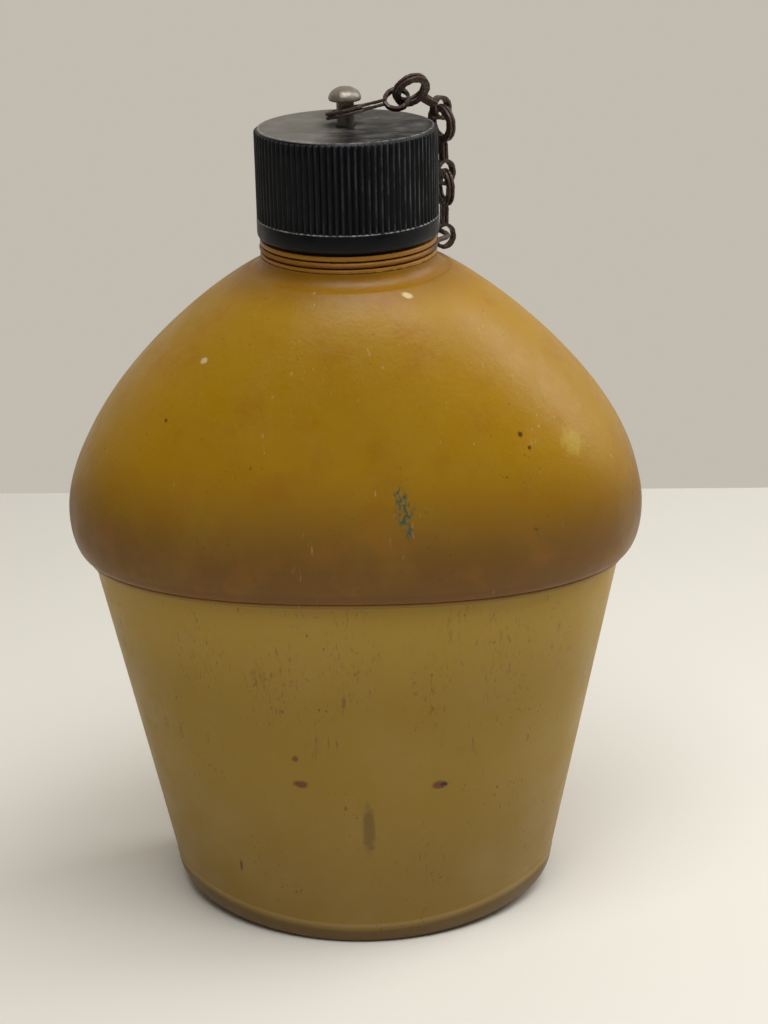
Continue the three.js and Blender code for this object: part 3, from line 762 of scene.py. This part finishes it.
def cap_finish():
    f = Finish("cap_plastic", ior=1.5, specular_ior_level=0.22)
    colour = f.mix(f.grain(7, 4), srgb(4, 6, 10), srgb(9, 12, 17))
    on_top = f.ramp(f.z, (CAP_TOP - 0.3) * MM, (CAP_TOP - 0.02) * MM)
    left = f.ramp(f.x, 3 * MM, -10 * MM)
    film = f.math("ADD", f.math("MULTIPLY", left, 0.8),
                  f.ramp(f.grain(5, 5, 0.6, (0.6, 1, 1)), 0.45, 0.7, 0.0, 0.3), True)
    colour = f.mix(f.times(on_top, film, 0.9), colour, srgb(110, 106, 98))
    smear = f.ramp(f.grain(2.2, 6, 0.7, (0.35, 1, 1), 0.4), 0.52, 0.68)
    colour = f.mix(f.times(on_top, smear, 0.4), colour, srgb(118, 112, 104))
    away = f.node("ShaderNodeVectorMath", {0: f.place, 1: (NECK[0] * MM, NECK[1] * MM, CAP_TOP * MM)},
                  operation="DISTANCE").outputs["Value"]
    # Light band on the top's rounded edge: rubbed wear, and a painted highlight along the edge.
    rim = f.times(f.band(away, (RIB_ROOT_R - 0.7) * MM, (RIB_ROOT_R - 0.45) * MM, 0.25 * MM),
                  f.ramp(f.z, (CAP_TOP - 0.7) * MM, (CAP_TOP - 0.3) * MM),
                  f.ramp(f.grain(1.3, 4, 0.7), 0.38, 0.6))
    colour = f.mix(f.math("MULTIPLY", rim, 0.62), colour, srgb(140, 140, 136))
    behind = f.math("SUBTRACT", f.y, float(NECK[1] * MM))
    axial = f.node("ShaderNodeCombineXYZ", {0: f.x, 1: behind, 2: 0.0}).outputs[0]
    radius = f.node("ShaderNodeVectorMath", {0: axial}, operation="LENGTH").outputs["Value"]
    crest = f.ramp(radius, (RIB_CREST_R - 0.12) * MM, (RIB_CREST_R - 0.01) * MM)
    above_band = f.ramp(f.z, (RIBS_FROM + 0.1) * MM, (RIBS_FROM + 0.4) * MM)
    # Lighter rib crests: rubbed wear, made stronger towards the right as a painted highlight.
    worn = f.times(crest, above_band, f.ramp(f.grain(2.5, 5, 0.7, (1, 1, 0.3), 0.6), 0.42, 0.66),
                   f.ramp(f.x, -6 * MM, 16 * MM, 0.25, 1.0))
    colour = f.mix(f.math("MULTIPLY", worn, 0.55), colour, srgb(92, 96, 98))
    ledge = f.times(f.band(f.z, (RIBS_FROM - 0.02) * MM, (RIBS_FROM + 0.14) * MM, 0.06 * MM),
                    f.ramp(f.grain(1.1, 4, 0.7, shift=0.2), 0.36, 0.58))
    colour = f.mix(f.math("MULTIPLY", ledge, 0.8), colour, srgb(150, 148, 140))
    f.bump((f.grain(6, 4, 0.6), 0.06), (f.grain(0.9, 4, 0.6), 0.02))
    rough = f.math("ADD", f.ramp(f.grain(5, 5, 0.6, shift=0.5), 0.3, 0.7, 0.3, 0.5),
                   f.times(on_top, film, 0.2))
    return f.done(colour, rough)


def steel_finish(name, dark, light, rust, rust_amount, metallic):
    f = Finish(name, metallic=metallic, specular_ior_level=0.5)
    colour = f.mix(f.grain(1.6, 5, 0.65), dark, light)
    patches = f.ramp(f.grain(2.4, 6, 0.7, shift=0.3), 0.62 - 0.3 * rust_amount, 0.75 - 0.2 * rust_amount)
    colour = f.mix(f.math("MULTIPLY", patches, 0.85), colour, rust)
    pits = f.ramp(f.grain(0.35, 3, 0.6, shift=0.6), 0.56, 0.7)
    colour = f.mix(f.math("MULTIPLY", pits, 0.5), colour, srgb(24, 18, 15))
    f.bump((f.grain(0.9, 5, 0.65), 0.08), (f.grain(0.3, 3, 0.6), 0.03))
    return f.done(colour, f.ramp(patches, 0.0, 1.0, 0.38, 0.7))


def ring_finish():
    """Rusted wire at the chain's bow, sunk in amber-brown grime round the rest of the groove."""
    f = Finish("ring_wire", specular_ior_level=0.4)
    at_bow = f.ramp(f.x, 18 * MM, 20.5 * MM)
    grime = f.mix(f.grain(2.2, 5, 0.6), srgb(118, 72, 3), srgb(146, 96, 6))
    rust = f.mix(f.grain(1.2, 5, 0.65, shift=0.4), srgb(46, 36, 32), srgb(84, 66, 56))
    f.bump((f.grain(0.9, 5, 0.65), 0.07))
    return f.done(f.mix(at_bow, grime, rust), f.ramp(f.grain(1.4, 4, shift=0.6), 0.3, 0.7, 0.4, 0.65))


def rubber_finish():
    f = Finish("gasket_rubber", specular_ior_level=0.3, sheen_weight=0.15)
    colour = f.mix(f.grain(3, 5, 0.6), srgb(34, 30, 27), srgb(62, 55, 47))
    chalk = f.ramp(f.grain(1.2, 4, 0.7, shift=0.3), 0.55, 0.75)
    colour = f.mix(f.math("MULTIPLY", chalk, 0.4), colour, srgb(104, 96, 86))
    f.bump((f.grain(0.8, 4), 0.05))
    return f.done(colour, f.ramp(f.grain(2, 4), 0.3, 0.7, 0.65, 0.9))


# ---- Pieces ----

amber_upper, amber_lower, amber_neck = upper_finish(), lower_finish(), neck_finish()
black = cap_finish()
pin_steel = steel_finish("pin_steel", srgb(112, 104, 94), srgb(158, 150, 138), srgb(96, 74, 56), 0.3, 0.6)
chain_steel = steel_finish("chain_steel", srgb(46, 36, 32), srgb(84, 70, 62), srgb(70, 42, 30), 0.7, 0.35)
ring_wire = ring_finish()
rubber = rubber_finish()

piece("canteen_lower_shell", lower_shell(), amber_lower, "canteen", "lower_shell")
piece("canteen_upper_shell", upper_shell(), amber_upper, "canteen", "upper_shell")
piece("canteen_neck", threaded_neck(), amber_neck, "canteen", "threaded_neck")
piece("screw_cap", cap_shell(), black, "cap", "cap_shell", 50)
piece("pin_body", cap_pin(), pin_steel, "pin", "cap_pin")
piece("pin_washer", washer("cap_pin_washer", PIN_HOLE_R, 0.2), pin_steel, "pin", "cap_pin_washer")
piece("sealing_gasket", washer("cap_gasket", GASKET_HOLE_R, 0.35), rubber, "pin", "cap_gasket")
piece("neck_wire_ring", neck_ring(), ring_wire, "neck_ring", "neck_ring")
for number, place in enumerate(chain_places(), 1):
    piece(f"link_{number}_strip", placed_link(*place), chain_steel, f"link_{number}",
          f"chain_link_{number}", 60)


# ---- Floor, light and camera ----

FLOOR_BACK = 0.288  # where the table ends, behind the canteen


def table_top():
    mesh = bpy.data.meshes.new("table")
    mesh.from_pydata([(-3, -3, 0), (3, -3, 0), (3, FLOOR_BACK, 0), (-3, FLOOR_BACK, 0)], [], [(0, 1, 2, 3)])
    finish = Finish("table_top", specular_ior_level=0.2)
    colour = finish.mix(finish.grain(160, 3), srgb(234, 231, 222), srgb(240, 237, 229))
    mesh.materials.append(finish.done(colour, 0.6))
    made = bpy.data.objects.new("table", mesh)
    bpy.context.collection.objects.link(made)


def softbox(name, place, aim, size, power):
    light = bpy.data.lights.new(name, "AREA")
    light.shape, light.size, light.size_y = "RECTANGLE", *size
    light.energy = power
    made = bpy.data.objects.new(name, light)
    bpy.context.collection.objects.link(made)
    made.location = place
    made.rotation_euler = (Vector(aim) - Vector(place)).to_track_quat("-Z", "Y").to_euler()


def backdrop():
    """A plain room: a pale wall behind, dimmer towards the front."""
    world = bpy.data.worlds.new("pale_room")
    world.use_nodes = True
    tree = world.node_tree
    direction = tree.nodes.new("ShaderNodeTexCoord").outputs["Generated"]
    split = tree.nodes.new("ShaderNodeSeparateXYZ")
    tree.links.new(direction, split.inputs[0])
    depth = tree.nodes.new("ShaderNodeMapRange")
    depth.interpolation_type = "SMOOTHSTEP"
    depth.inputs["From Min"].default_value, depth.inputs["From Max"].default_value = -0.3, 0.75
    tree.links.new(split.outputs["Y"], depth.inputs["Value"])
    blend = tree.nodes.new("ShaderNodeMix")
    blend.data_type = "RGBA"
    blend.inputs[6].default_value, blend.inputs[7].default_value = srgb(92, 88, 82), srgb(194, 188, 177)
    tree.links.new(depth.outputs[0], blend.inputs[0])
    tree.links.new(blend.outputs[2], tree.nodes["Background"].inputs["Color"])
    bpy.context.scene.world = world


def camera():
    """Looks down at the canteen from in front, at eye level of someone sitting at the table."""
    lens = bpy.data.cameras.new("camera")
    lens.lens, lens.sensor_width = 76.65, 36
    made = bpy.data.objects.new("camera", lens)
    bpy.context.collection.objects.link(made)
    heading, pitch, roll = 0.038, 0.371, -0.021
    turn = (Matrix.Rotation(heading, 4, "Z") @ Matrix.Rotation(math.pi / 2 - pitch, 4, "X")
            @ Matrix.Rotation(roll, 4, "Z"))
    made.matrix_world = Matrix.Translation((0.0256, NECK[1] * MM - 0.4925, 0.2935)) @ turn
    bpy.context.scene.camera = made


table_top()
backdrop()
softbox("overhead", (0.1, -0.2, 0.75), (0, 0, 0.1), (0.7, 0.35), 4.4)
softbox("side", (0.75, 0.25, 0.6), (0, 0, 0.1), (0.5, 0.5), 3.0)
camera()
bpy.context.scene.view_settings.view_transform = "Standard"
